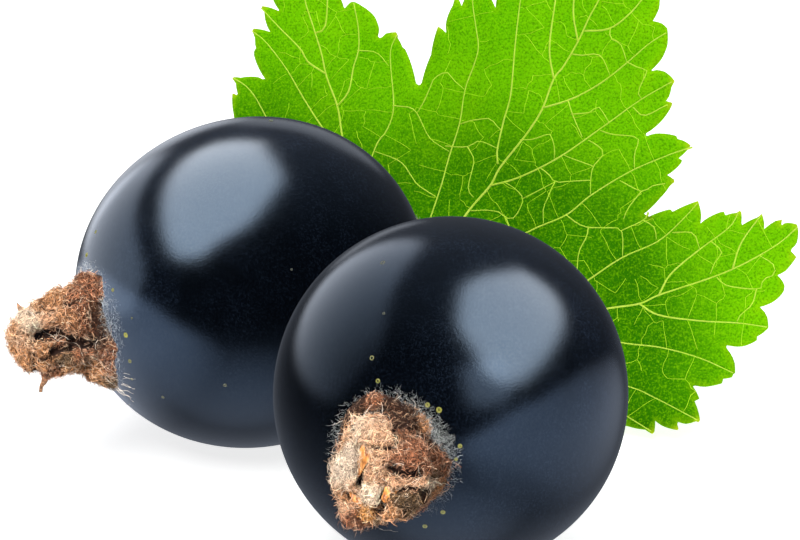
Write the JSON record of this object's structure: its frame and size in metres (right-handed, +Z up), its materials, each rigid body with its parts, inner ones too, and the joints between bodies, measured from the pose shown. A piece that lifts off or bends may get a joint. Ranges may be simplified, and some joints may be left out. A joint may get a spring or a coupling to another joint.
{
  "type": "blackcurrant sprig",
  "caption": "Picked sprig of ripe, round dark berries with withered calyxes and a lobed, toothed green leaf on a short cut twig, lying at rest on a surface.",
  "frame": {"origin": "middle of the flat spot that the front berry rests on", "axes": "+Z up from the table, +Y from the front berry back to the twig, +X to the right of the berries seen from the front"},
  "size_m": [0.0335, 0.0426, 0.0199],
  "materials": {
    "berry_skin": "near-black blue skin, glossy under a thin waxy bloom, with small yellow resin glands",
    "calyx": "dry crumpled brown flower remains, felted with pale hairs",
    "stalk": "soft green, finely downy",
    "leaf": "satin bright green with a raised yellow-green net of veins",
    "bark": "grey-brown young bark with pale lenticels"
  },
  "bodies": {
    "root": {"berry_front": "berry_skin", "berry_back": "berry_skin", "calyx_front": "calyx", "calyx_back": "calyx", "strig": "stalk", "petiole": "stalk", "leaf_blade": "leaf", "twig": "bark"}
  },
  "joints": []
}
